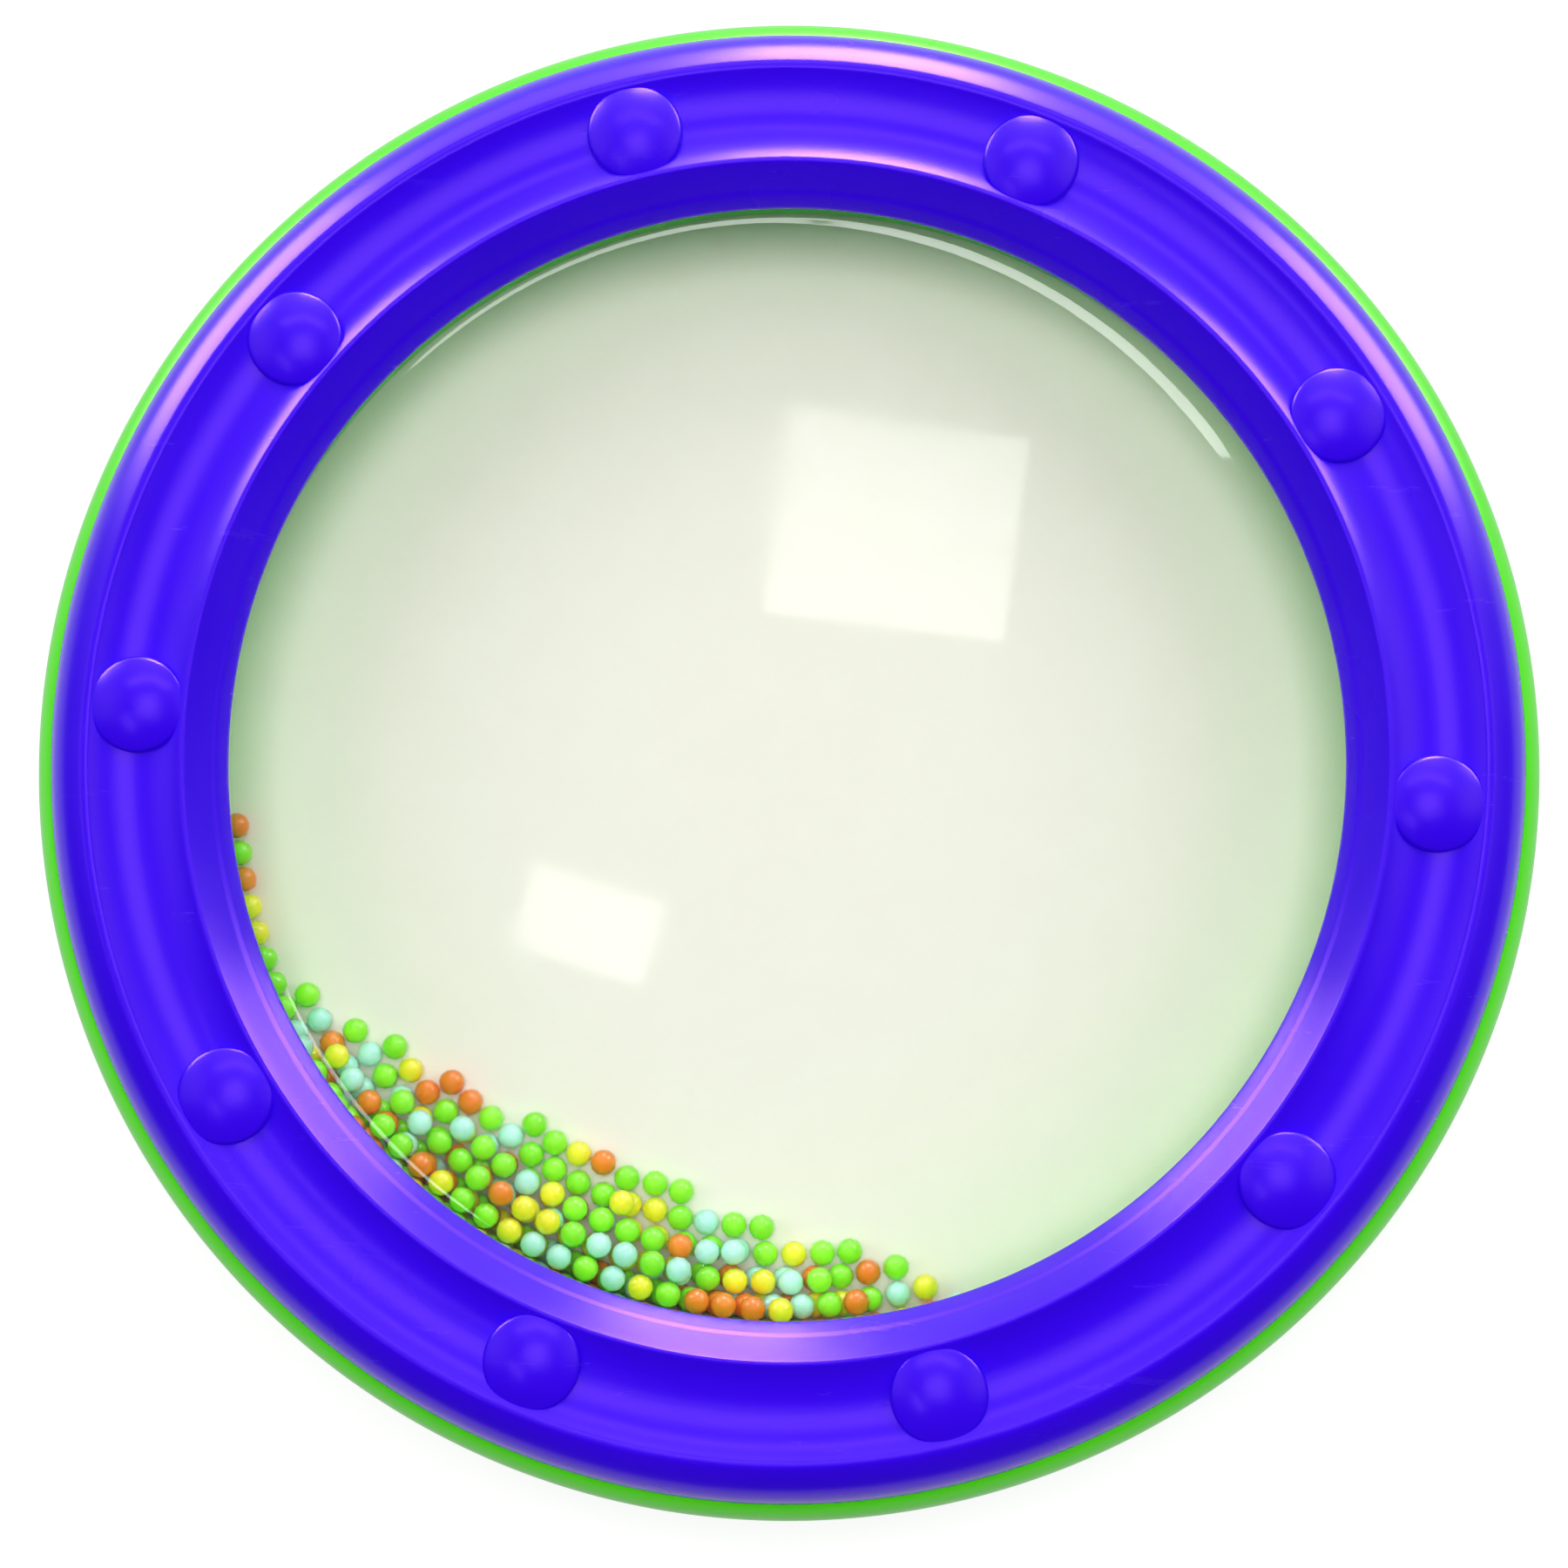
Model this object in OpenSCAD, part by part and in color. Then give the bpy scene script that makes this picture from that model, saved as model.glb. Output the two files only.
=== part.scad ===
/* [Drum] */
// Diameter over the widest edge of the shell
drum_d = 250; // [200:1:320]
// Depth from the rear crest, which the drum rests on, to the front crest
drum_h = 44; // [38:1:70]

/* [Rim face] */
// Width of the round outer band, from the rim's edge to the outer crest
band_w = 6.9; // [6:0.1:10]
// Drop of the outer band, from the crest to the rim's edge
band_drop = 7.4; // [6:0.1:9]
// Width of the flat along the top of each crest
crest_flat = 0.6; // [0.5:0.1:1.2]
// Width of the round channel between the two crests
channel_w = 15.2; // [14.9:0.1:19]
// Depth of the round channel
channel_deep = 2.2; // [2:0.1:6]
// Width of the cone between the inner crest and the window
cone_w = 6; // [5:0.1:9]
// Drop of the cone, from the inner crest to the window's edge
cone_drop = 7.7; // [7:0.1:10]
// Height of the upright lip under the window's edge
lip_h = 0.7; // [0.4:0.1:2]
// Wall of both rims
rim_wall = 2.2; // [1.6:0.1:2.6]
// Height of the foot that the rim stands on
foot_h = 1.5; // [1:0.1:2.5]
// Length of the spigot that centres a rim in the shell
spigot_h = 4; // [2:0.5:5]
// Wall of the spigot
spigot_wall = 1.8; // [1.2:0.1:2.4]
// Width of the flat that the drum rests on, round the rear crest
land_w = 1.6; // [1:0.1:3]

/* [Studs] */
// Number of studs round each rim
stud_n = 10; // [6:1:12]
// Turn of the first stud from the drum's X axis, in degrees
stud_turn = 31.6; // [0:0.1:60]
// Diameter of a stud
stud_d = 15.8; // [14.2:0.1:16.1]
// Height of a stud's edge above the front crest
stud_rise = 0.4; // [0.3:0.1:1.5]
// Rise of a stud's domed top above its edge
stud_dome = 1; // [0.5:0.1:3]
// Distance of a rear stud's flat top from the surface that the drum rests on
rear_stud_clear = 0.5; // [0.3:0.1:1.5]
// Diameter of the screw post under a stud
post_d = 7; // [6:0.1:7.6]

/* [Shell] */
// How far the shell's widest edge stands out past the rims
shell_lip = 3.4; // [2.5:0.1:5]
// Height of the round shoulder between the rim and the widest edge
shoulder_drop = 6.5; // [5.2:0.1:9]
// Outer wall of the shell
shell_wall = 2.2; // [1.6:0.1:3]
// Width of the flat end of the shell that a rim's foot stands on
edge_w = 2.4; // [1.8:0.1:3]
// Wall round the bead chamber
chamber_wall = 1.8; // [1.2:0.1:2.4]
// How far the window stands in from the wall of the bead chamber
window_lip = 5.7; // [4:0.1:6.2]
// Thickness of the web between the two walls
web_t = 2.4; // [1.6:0.1:4]

/* [Heads] */
// Thickness of a head's film
film_t = 0.35; // [0.2:0.05:0.6]
// Length of the film's skirt outside the chamber wall
skirt_h = 6.5; // [4:0.1:9]
// Height of the hoop on the film's skirt
hoop_h = 4; // [2:0.1:4]
// Width of the hoop
hoop_w = 2.1; // [1.4:0.1:3]
// Gap between the window's lip and the film
head_gap = 0.25; // [0.15:0.05:0.6]

/* [Screws] */
// Core diameter of a tie screw
screw_d = 2.6; // [2.2:0.1:3]
// Head diameter of a tie screw
screw_head_d = 5.6; // [4.8:0.1:6]
// Head height of a tie screw
screw_head_h = 2; // [1.4:0.1:2.6]
// Depth of the screw's seat below the top of a rear stud
seat_deep = 7; // [6:0.1:9]
// How far a screw bites into the front post
screw_bite = 10.6; // [7:0.1:12]
// Length of each arm of the cross recess
recess_l = 3.2; // [2.4:0.1:4]
// Width of each arm of the cross recess
recess_w = 0.8; // [0.5:0.1:1]
// Depth of the cross recess
recess_deep = 1.2; // [0.6:0.1:1.3]

/* [Beads] */
// Diameter of a bead
bead_d = 4.4; // [3.6:0.1:5.2]
// Direction that the beads have run to, in degrees from the X axis
pile_dir = -114; // [-180:1:180]
// Distance from the wall of the bead chamber to the free edge of the lowest layer
pile_free = 27.5; // [14:0.5:34]
// How far the free edge of each higher layer steps back towards the wall
layer_step = 6; // [4:0.5:9]
// How far the beads reach along the wall, clockwise from the pile's middle
tail_long = 103.5; // [76:0.5:134]
// How far they reach the other way
tail_short = 75; // [60:0.5:100]

/* [Hidden] */
$fn = 180;

// Overrun of every cut past the face that it opens
over = 0.6;
// Play between a round piece and the seat that centres it
play = 0.15;
// Radial clearance of a screw in the holes that it passes through
hole_clear = 0.4;
// Radial clearance of a screw's core in the post that it bites into
pilot_clear = 0.05;
// Space between a post and the hoop beside it
post_clear = 0.3;
// Space between the end of a post and the web
post_end_clear = 0.2;
// Space between a screw's head and the bore that it sits in
head_clear = 0.4;
// Wall round the bore of a screw's head
head_bore_wall = 1.4;
// Least space between the beads and what holds them
bead_clear = 0.3;
// Least space between two beads
bead_gap = 0.08;
// Spare room along a row of beads, as a share of a bead
row_spare_share = 0.1;
// How much the pile's free edge bends away from the wall: none at 0, a straight edge at 1
free_bend_share = 0.9;
// Rows of beads that are tried from the wall inwards
row_n = 9;
// Start value of the beads' places and colours
bead_seed = 23;
// Shares of green, yellow, orange and mint beads, summed in that order
colour_shares = [0.38, 0.59, 0.8, 1];

rim_r = drum_d / 2 - shell_lip;
crest_r = rim_r - band_w;
ridge_r = crest_r - channel_w - 2 * crest_flat;
window_r = ridge_r - cone_w;
stud_r = stud_d / 2;
post_r = post_d / 2;
ring_r = (crest_r + ridge_r) / 2;
band_arc = band_drop > band_w ? band_w : (pow(band_w, 2) + pow(band_drop, 2)) / (2 * band_drop);
channel_arc = (pow(channel_w / 2, 2) + pow(channel_deep, 2)) / (2 * channel_deep);
shoulder_arc = (pow(shell_lip, 2) + pow(shoulder_drop, 2)) / (2 * shell_lip);
cone_len = norm([cone_w, cone_drop]);

// Depths below a crest
lip_deep = cone_drop + lip_h;
film_deep = lip_deep + head_gap;
bearing_deep = film_deep + film_t;

// Radii of the wall round the beads and of what a head wraps over it
chamber_r = window_r + window_lip;
skirt_in_r = chamber_r + chamber_wall + play;
skirt_r = skirt_in_r + film_t;
hoop_in_r = skirt_r + play;
hoop_r = hoop_in_r + hoop_w;
hoop_deep = film_deep + skirt_h - hoop_h;

// Heights from the middle of the drum
wall_half = drum_h / 2 - band_drop;
chamber_half = drum_h / 2 - bearing_deep;
post_end = web_t / 2 + post_end_clear;

// Heights and radii of the screws and of the posts that take them
screw_r = screw_d / 2;
head_bore_r = screw_head_d / 2 + head_clear;
seat_z = rear_stud_clear + seat_deep;
screw_tip_z = drum_h / 2 + post_end + screw_bite;
pilot_end_z = screw_tip_z + over;

// Radius of the cone at a height under the crest, drawn in by a wall
function cone_r(y, wall) = ridge_r + y * cone_w / cone_drop + wall * cone_len / cone_drop;

// Space under the rim's face, drawn in by a wall, down to a depth under the crest
module under_face(wall, band_floor, floor) {
    difference() {
        union() {
            polygon([[cone_r(-floor, wall), -floor], [cone_r(-wall, wall), -wall],
                [crest_r, -wall], [crest_r, -floor]]);
            intersection() {
                translate([crest_r, -band_arc])
                    circle(band_arc - wall);
                translate([crest_r, -band_floor])
                    square([band_w, band_floor]);
            }
            if (band_drop > band_arc)
                translate([crest_r, -band_drop])
                    square([band_w - wall, band_drop - band_arc]);
        }
        translate([ring_r, channel_arc - channel_deep])
            circle(channel_arc + wall);
    }
}

// A rim's section: its moulded wall, foot, spigot and the rib that presses on the hoop
module rim_section() {
    intersection() {
        union() {
            difference() {
                under_face(0, band_drop, lip_deep);
                under_face(rim_wall, band_drop, lip_deep + over);
                translate([crest_r - over, -lip_deep - over])
                    square([over + band_w - rim_wall, lip_deep + over - band_drop]);
            }
            intersection() {
                translate([seat_r() - spigot_wall, -band_drop])
                    square([edge_w + play + spigot_wall, foot_h]);
                under_face(0, band_drop, band_drop);
            }
            translate([seat_r() - spigot_wall, -band_drop - spigot_h])
                square([spigot_wall, spigot_h + foot_h]);
            intersection() {
                translate([hoop_in_r, -hoop_deep])
                    square([hoop_r - hoop_in_r, hoop_deep]);
                under_face(0, band_drop, hoop_deep);
            }
        }
        translate([window_r, -drum_h])
            square([rim_r - window_r, drum_h]);
    }
}

// Radius of the spigot, which sits inside the shell's outer wall
function seat_r() = rim_r - edge_w - play;

// One copy at each stud's place
module at_studs() {
    for (i = [0:stud_n - 1])
        rotate([0, 0, stud_turn + i * 360 / stud_n])
            translate([ring_r, 0, 0])
                children();
}

// A stud on the channel's floor, whose edge is at a rise above the crest, with a domed or flat top
module stud(rise, dome) {
    dome_arc = dome > 0 ? (pow(stud_r, 2) + pow(dome, 2)) / (2 * dome) : 0;
    rotate_extrude()
        if (dome > 0)
            intersection() {
                translate([0, -channel_deep - rim_wall / 2])
                    square([stud_r, channel_deep + rim_wall / 2 + rise + dome]);
                translate([0, rise + dome - dome_arc])
                    circle(dome_arc);
            }
        else
            translate([0, -channel_deep - rim_wall / 2])
                square([stud_r, channel_deep + rim_wall / 2 + rise]);
}

// A rim with its face up and its crest at the drum's depth, with hollow studs
module rim_body(rise, dome) {
    translate([0, 0, drum_h])
        difference() {
            union() {
                rotate_extrude()
                    rim_section();
                at_studs()
                    stud(rise, dome);
            }
            at_studs()
                translate([0, 0, -channel_deep - rim_wall - over])
                    cylinder(r = stud_r - rim_wall, h = channel_deep + over + rise);
        }
}

// The space that the posts leave free for the hoop, with the rim's face up
module hoop_space() {
    translate([0, 0, drum_h / 2])
        rotate_extrude()
            square([hoop_r + post_clear, drum_h / 2 - hoop_deep]);
}

module front_rim() {
    color("blueviolet")
        difference() {
            union() {
                rim_body(stud_rise, stud_dome);
                difference() {
                    at_studs()
                        translate([0, 0, drum_h / 2 + post_end])
                            cylinder(r = post_r, h = drum_h / 2 - post_end + stud_rise - rim_wall / 2);
                    hoop_space();
                }
            }
            at_studs()
                translate([0, 0, drum_h / 2 + post_end - over])
                    cylinder(r = screw_r + pilot_clear, h = screw_bite + over + over);
        }
}

module rear_rim() {
    color("limegreen")
        difference() {
            union() {
                translate([0, 0, drum_h])
                    mirror([0, 0, 1])
                        rim_body(-rear_stud_clear, 0);
                rotate_extrude()
                    translate([crest_r - land_w / 2, 0])
                        square([land_w, rim_wall]);
                at_studs()
                    translate([0, 0, rear_stud_clear])
                        cylinder(r = head_bore_r + head_bore_wall, h = seat_deep + head_bore_wall);
                difference() {
                    at_studs()
                        translate([0, 0, seat_z])
                            cylinder(r = post_r, h = drum_h / 2 - post_end - seat_z);
                    translate([0, 0, drum_h])
                        mirror([0, 0, 1])
                            hoop_space();
                }
            }
            at_studs()
                translate([0, 0, rear_stud_clear - over])
                    cylinder(r = head_bore_r, h = seat_deep + over);
            at_studs()
                translate([0, 0, seat_z - over])
                    cylinder(r = screw_r + hole_clear, h = drum_h / 2 - post_end - seat_z + over + over);
        }
}

// Half of the shell's outer wall above the middle, drawn in by a wall
module wall_half_section(wall) {
    translate([crest_r, 0])
        square([drum_d / 2 - wall - crest_r, wall_half - shoulder_drop]);
    intersection() {
        translate([drum_d / 2 - shoulder_arc, wall_half - shoulder_drop])
            circle(shoulder_arc - wall);
        translate([crest_r, 0])
            square([drum_d / 2 - crest_r, wall_half]);
    }
}

module drum_shell() {
    bore_r = rim_r - edge_w;
    color("limegreen")
        translate([0, 0, drum_h / 2])
            difference() {
                rotate_extrude() {
                    for (side = [0, 1])
                        mirror([0, side])
                            difference() {
                                wall_half_section(0);
                                wall_half_section(shell_wall);
                                translate([crest_r - over, -over])
                                    square([bore_r - crest_r + over, wall_half + over + over]);
                            }
                    translate([chamber_r, -chamber_half])
                        square([chamber_wall, 2 * chamber_half]);
                    translate([chamber_r + chamber_wall / 2, -web_t / 2])
                        square([drum_d / 2 - shell_wall / 2 - chamber_r - chamber_wall / 2, web_t]);
                }
                at_studs()
                    translate([0, 0, -web_t / 2 - over])
                        cylinder(r = screw_r + hole_clear, h = web_t + over + over);
            }
}

// A head with its film up: a flat disc with a skirt that wraps the chamber wall
module head() {
    rotate_extrude() {
        translate([0, chamber_half])
            square([skirt_r, film_t]);
        translate([skirt_in_r, chamber_half + film_t - skirt_h])
            square([film_t, skirt_h]);
    }
}

// The hoop that holds the end of a head's skirt, with its pressed face up
module hoop() {
    rotate_extrude()
        translate([hoop_in_r, drum_h / 2 - hoop_deep - hoop_h])
            square([hoop_r - hoop_in_r, hoop_h]);
}

module front_head() {
    color("aliceblue", 0.3)
        translate([0, 0, drum_h / 2])
            head();
}

module rear_head() {
    color("ivory")
        translate([0, 0, drum_h / 2])
            mirror([0, 0, 1])
                head();
}

module front_head_hoop() {
    color("whitesmoke")
        translate([0, 0, drum_h / 2])
            hoop();
}

module rear_head_hoop() {
    color("whitesmoke")
        translate([0, 0, drum_h / 2])
            mirror([0, 0, 1])
                hoop();
}

module tie_screws() {
    color("silver")
        at_studs()
            difference() {
                union() {
                    translate([0, 0, seat_z - screw_head_h])
                        cylinder(d = screw_head_d, h = screw_head_h);
                    translate([0, 0, seat_z - screw_head_h / 2])
                        cylinder(r = screw_r, h = screw_tip_z - seat_z + screw_head_h / 2);
                }
                for (turn = [0, 90])
                    rotate([0, 0, turn])
                        translate([-recess_l / 2, -recess_w / 2, seat_z - screw_head_h - over])
                            cube([recess_l, recess_w, recess_deep + over]);
            }
}

// Centre distance of two beads that all but touch
bead_pitch = bead_d + bead_gap;
// Radius of the circle on which the beads along the wall have their centres
wall_row_r = chamber_r - bead_clear - bead_d / 2;
// Height of the lowest beads' centres
low_z = bearing_deep + bead_clear + bead_d / 2;

// How far out a bead on a ray can roll before it meets a bead that is already there
function stop_r(turn, spot) =
    let (apart = turn - spot[1], side = spot[0] * sin(apart))
    cos(apart) < 0.9 || abs(side) >= bead_pitch
        ? wall_row_r
        : spot[0] * cos(apart) - sqrt(pow(bead_pitch, 2) - pow(side, 2));

// A bead rolled out along its ray: [distance from the centre, turn]
function rolled(turn, spots) = [min([wall_row_r, for (s = spots) stop_r(turn, s)]), turn];

// Turns that the two tails reach to along the wall
long_turn = tail_long / wall_row_r * 180 / PI;
short_turn = tail_short / wall_row_r * 180 / PI;

// A spot is kept in a layer where it lies past the free edge, or along the wall in the tails
function kept(spot, layer) =
    let (free = chamber_r - pile_free + bead_pitch / 2 + layer * layer_step, off = spot[1] - pile_dir)
    spot[0] * cos(off * free_bend_share) >= free || (layer == 0 && spot[0] > wall_row_r - bead_gap);

// Turns at which the beads of one row set out, with uneven gaps between them
function row_turns(row, layer) =
    let (r = wall_row_r - row * bead_pitch * 0.9, step = 2 * asin(bead_pitch / (2 * r)),
        n = floor((long_turn + short_turn) / (step * (1 + row_spare_share / 2))),
        gaps = rands(0, row_spare_share, n, bead_seed + 17 * row + 101 * layer),
        first = rands(0, step, 1, bead_seed + row + 31 * layer)[0])
    [for (i = 0, turn = pile_dir - long_turn + first; i < n;
        turn = turn + step * (1 + gaps[i]), i = i + 1) turn];

// All rows of one layer, each bead rolled out against those before it
function rolled_rows(layer, turns, i = 0, spots = []) =
    i == len(turns)
        ? spots
        : let (spot = rolled(turns[i], spots))
            rolled_rows(layer, turns, i + 1, kept(spot, layer) ? concat(spots, [spot]) : spots);

// Flat places of one layer's beads
function layer_spots(layer) =
    let (turns = [for (row = [0:row_n - 1]) each row_turns(row, layer)])
    [for (s = rolled_rows(layer, turns)) [s[0] * cos(s[1]), s[0] * sin(s[1])]];

// Height at which a bead comes to lie on the beads under it
function lies_at(spot, below) =
    max([low_z, for (b = below) let (off = norm([spot[0] - b[0], spot[1] - b[1]]))
        if (off < bead_pitch) b[2] + sqrt(pow(bead_pitch, 2) - pow(off, 2))]);

// Places of the beads of the layers up to the given one
function pile(layer) =
    layer < 0
        ? []
        : let (below = pile(layer - 1))
            concat(below, [for (s = layer_spots(layer)) [s[0], s[1], lies_at(s, below), layer]]);

// The beads of one colour in one layer
module beads(colour, layer) {
    places = pile(layer);
    picks = rands(0, 1, len(places), bead_seed);
    lowest_pick = colour == 0 ? 0 : colour_shares[colour - 1];
    for (i = [0:len(places) - 1])
        if (places[i][3] == layer && picks[i] >= lowest_pick && picks[i] < colour_shares[colour])
            translate([places[i][0], places[i][1], places[i][2]])
                sphere(d = bead_d, $fn = 24);
}

module green_beads(layer) { color("lawngreen") beads(0, layer); }
module yellow_beads(layer) { color("gold") beads(1, layer); }
module orange_beads(layer) { color("darkorange") beads(2, layer); }
module mint_beads(layer) { color("aquamarine") beads(3, layer); }

front_rim();
rear_rim();
drum_shell();
front_head();
rear_head();
front_head_hoop();
rear_head_hoop();
tie_screws();
green_beads(0);  // green_beads_low
green_beads(1);  // green_beads_middle
green_beads(2);  // green_beads_top
yellow_beads(0);  // yellow_beads_low
yellow_beads(1);  // yellow_beads_middle
yellow_beads(2);  // yellow_beads_top
orange_beads(0);  // orange_beads_low
orange_beads(1);  // orange_beads_middle
orange_beads(2);  // orange_beads_top
mint_beads(0);  // mint_beads_low
mint_beads(1);  // mint_beads_middle
mint_beads(2);  // mint_beads_top
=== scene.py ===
"""An ocean drum, dressed in Blender on its CAD frame.

The drum lies on its rear rim with the clear head up. Its two moulded rims, its double-walled shell,
the clear and the cream head and the loose beads are built here as finished pieces in the places of
their CAD nodes. The hoops and the screws keep their CAD shapes and get materials.
"""

import logging
import math
import random
from dataclasses import dataclass, field
from enum import Enum
from typing import Any, Iterable, Sequence

import bmesh
import bpy
from mathutils import Euler, Matrix, Vector, noise

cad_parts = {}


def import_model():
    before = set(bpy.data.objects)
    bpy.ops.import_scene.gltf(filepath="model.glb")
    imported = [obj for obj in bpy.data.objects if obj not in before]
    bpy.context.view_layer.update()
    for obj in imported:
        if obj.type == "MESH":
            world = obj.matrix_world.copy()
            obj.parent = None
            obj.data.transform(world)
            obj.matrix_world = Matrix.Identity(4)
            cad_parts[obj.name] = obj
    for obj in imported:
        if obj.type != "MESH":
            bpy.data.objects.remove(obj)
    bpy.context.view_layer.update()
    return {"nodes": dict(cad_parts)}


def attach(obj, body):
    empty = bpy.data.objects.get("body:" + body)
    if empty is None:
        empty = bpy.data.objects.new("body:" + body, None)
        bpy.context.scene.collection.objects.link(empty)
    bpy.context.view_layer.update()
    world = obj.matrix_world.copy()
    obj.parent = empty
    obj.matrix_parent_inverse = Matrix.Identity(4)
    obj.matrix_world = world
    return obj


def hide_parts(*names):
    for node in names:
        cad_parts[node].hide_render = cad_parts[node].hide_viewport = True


LOG = logging.getLogger("ocean_drum")
DRUM = "drum"
BEAD_LOAD = "bead_load"
TONE_NAME = "bead_tone"
WHITE = (1.0, 1.0, 1.0, 1.0)


def mm(length: float) -> float:
    """Returns a length in millimetres as metres."""
    return length * 0.001


def linear(code: str) -> tuple[float, float, float, float]:
    """Turns an sRGB hex colour to the linear values that Blender's sockets take.

    Args:
        code: The colour as six hex digits after a hash mark.

    Returns:
        Linear red, green and blue, and an alpha of 1.
    """
    parts = [int(code[i : i + 2], 16) / 255 for i in (1, 3, 5)]
    red, green, blue = (
        c / 12.92 if c <= 0.04045 else ((c + 0.055) / 1.055) ** 2.4 for c in parts
    )
    return red, green, blue, 1.0


def add_node(
    tree: bpy.types.NodeTree,
    kind: str,
    settings: dict[str, Any] | None = None,
    values: dict[int | str, Any] | None = None,
    links: dict[int | str, bpy.types.NodeSocket] | None = None,
) -> bpy.types.Node:
    """Adds one node with its settings, its socket values and its incoming links.

    Args:
        tree: The node tree that takes the node.
        kind: The node's type name.
        settings: Properties of the node itself.
        values: Values for input sockets, by name or number.
        links: Output sockets of other nodes, by the input that each one feeds.

    Returns:
        The new node.
    """
    node = tree.nodes.new(kind)
    for name, value in (settings or {}).items():
        setattr(node, name, value)
    for key, value in (values or {}).items():
        node.inputs[key].default_value = value
    for key, source in (links or {}).items():
        tree.links.new(source, node.inputs[key])
    return node


def new_material(name: str) -> tuple[bpy.types.Material, bpy.types.NodeTree]:
    """Returns an empty node material of that name and its node tree."""
    material = bpy.data.materials.new(name)
    material.use_nodes = True
    material.node_tree.nodes.clear()
    return material, material.node_tree


def noise_at(
    tree: bpy.types.NodeTree,
    place: bpy.types.NodeSocket,
    size: float,
    detail: float,
    roughness: float = 0.5,
) -> bpy.types.NodeSocket:
    """Adds noise with marks of a real size and returns its value from 0 to 1.

    Args:
        tree: The node tree that takes the node.
        place: The coordinates that it is read at.
        size: Size of the marks in millimetres.
        detail: Levels of finer marks.
        roughness: How strong the finer marks are.

    Returns:
        The noise's value.
    """
    values = {"Scale": 1 / mm(size), "Detail": detail, "Roughness": roughness}
    node = add_node(tree, "ShaderNodeTexNoise", values=values, links={"Vector": place})
    return node.outputs["Fac"]


def spread(
    tree: bpy.types.NodeTree,
    value: bpy.types.NodeSocket,
    low: float,
    high: float,
    start: float = 0.0,
    end: float = 1.0,
) -> bpy.types.NodeSocket:
    """Spreads a value over a new range and holds it there.

    Args:
        tree: The node tree that takes the node.
        value: The value.
        low: What it becomes at its start and below.
        high: What it becomes at its end and above.
        start: Start of the value's own range.
        end: End of that range.

    Returns:
        The new value.
    """
    values = {"From Min": start, "From Max": end, "To Min": low, "To Max": high}
    node = add_node(tree, "ShaderNodeMapRange", values=values, links={"Value": value})
    return node.outputs["Result"]


def mixed(
    tree: bpy.types.NodeTree,
    share: bpy.types.NodeSocket,
    first: str | bpy.types.NodeSocket,
    second: str,
) -> bpy.types.NodeSocket:
    """Mixes two colours.

    Args:
        tree: The node tree that takes the node.
        share: How much of the second colour there is.
        first: The first colour, as a hex code or as another node's output.
        second: The second colour, as a hex code.

    Returns:
        The mixture.
    """
    values: dict[int | str, Any] = {7: linear(second)}
    links: dict[int | str, bpy.types.NodeSocket] = {0: share}
    if isinstance(first, str):
        values[6] = linear(first)
    else:
        links[6] = first
    node = add_node(tree, "ShaderNodeMix", {"data_type": "RGBA"}, values, links)
    return node.outputs[2]


def product_and_sum(
    tree: bpy.types.NodeTree,
    value: bpy.types.NodeSocket,
    factor: float,
    base: bpy.types.NodeSocket,
) -> bpy.types.NodeSocket:
    """Multiplies a value and adds it to a base.

    Args:
        tree: The node tree that takes the node.
        value: The value.
        factor: What it is multiplied by.
        base: What the product is added to.

    Returns:
        The sum.
    """
    node = add_node(
        tree,
        "ShaderNodeMath",
        {"operation": "MULTIPLY_ADD"},
        {1: factor},
        {0: value, 2: base},
    )
    return node.outputs[0]


def greatest(
    tree: bpy.types.NodeTree, sockets: Sequence[bpy.types.NodeSocket]
) -> bpy.types.NodeSocket:
    """Compares several values.

    Args:
        tree: The node tree that takes the nodes.
        sockets: The outputs that give the values.

    Returns:
        The greatest of them.
    """
    found = sockets[0]
    for socket in sockets[1:]:
        found = add_node(
            tree, "ShaderNodeMath", {"operation": "MAXIMUM"}, links={0: found, 1: socket}
        ).outputs[0]
    return found


def bumped(
    tree: bpy.types.NodeTree,
    height: bpy.types.NodeSocket,
    strength: float,
    depth: float,
    over: bpy.types.NodeSocket | None = None,
) -> bpy.types.NodeSocket:
    """Adds a slight relief to a surface.

    Args:
        tree: The node tree that takes the node.
        height: The relief's height, from 0 to 1.
        strength: Its strength.
        depth: Its depth in millimetres.
        over: The normal of another relief that this one is laid over.

    Returns:
        The surface's new normal.
    """
    links: dict[int | str, bpy.types.NodeSocket] = {"Height": height}
    if over is not None:
        links["Normal"] = over
    values = {"Strength": strength, "Distance": mm(depth)}
    return add_node(tree, "ShaderNodeBump", values=values, links=links).outputs[0]


def end_material(
    tree: bpy.types.NodeTree,
    values: dict[int | str, Any],
    links: dict[int | str, bpy.types.NodeSocket],
) -> None:
    """Ends a material with its shader.

    Args:
        tree: The material's node tree.
        values: The shader's own values, by socket.
        links: What feeds its other sockets.
    """
    shader = add_node(tree, "ShaderNodeBsdfPrincipled", values=values, links=links)
    add_node(
        tree, "ShaderNodeOutputMaterial", links={"Surface": shader.outputs["BSDF"]}
    )


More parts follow.
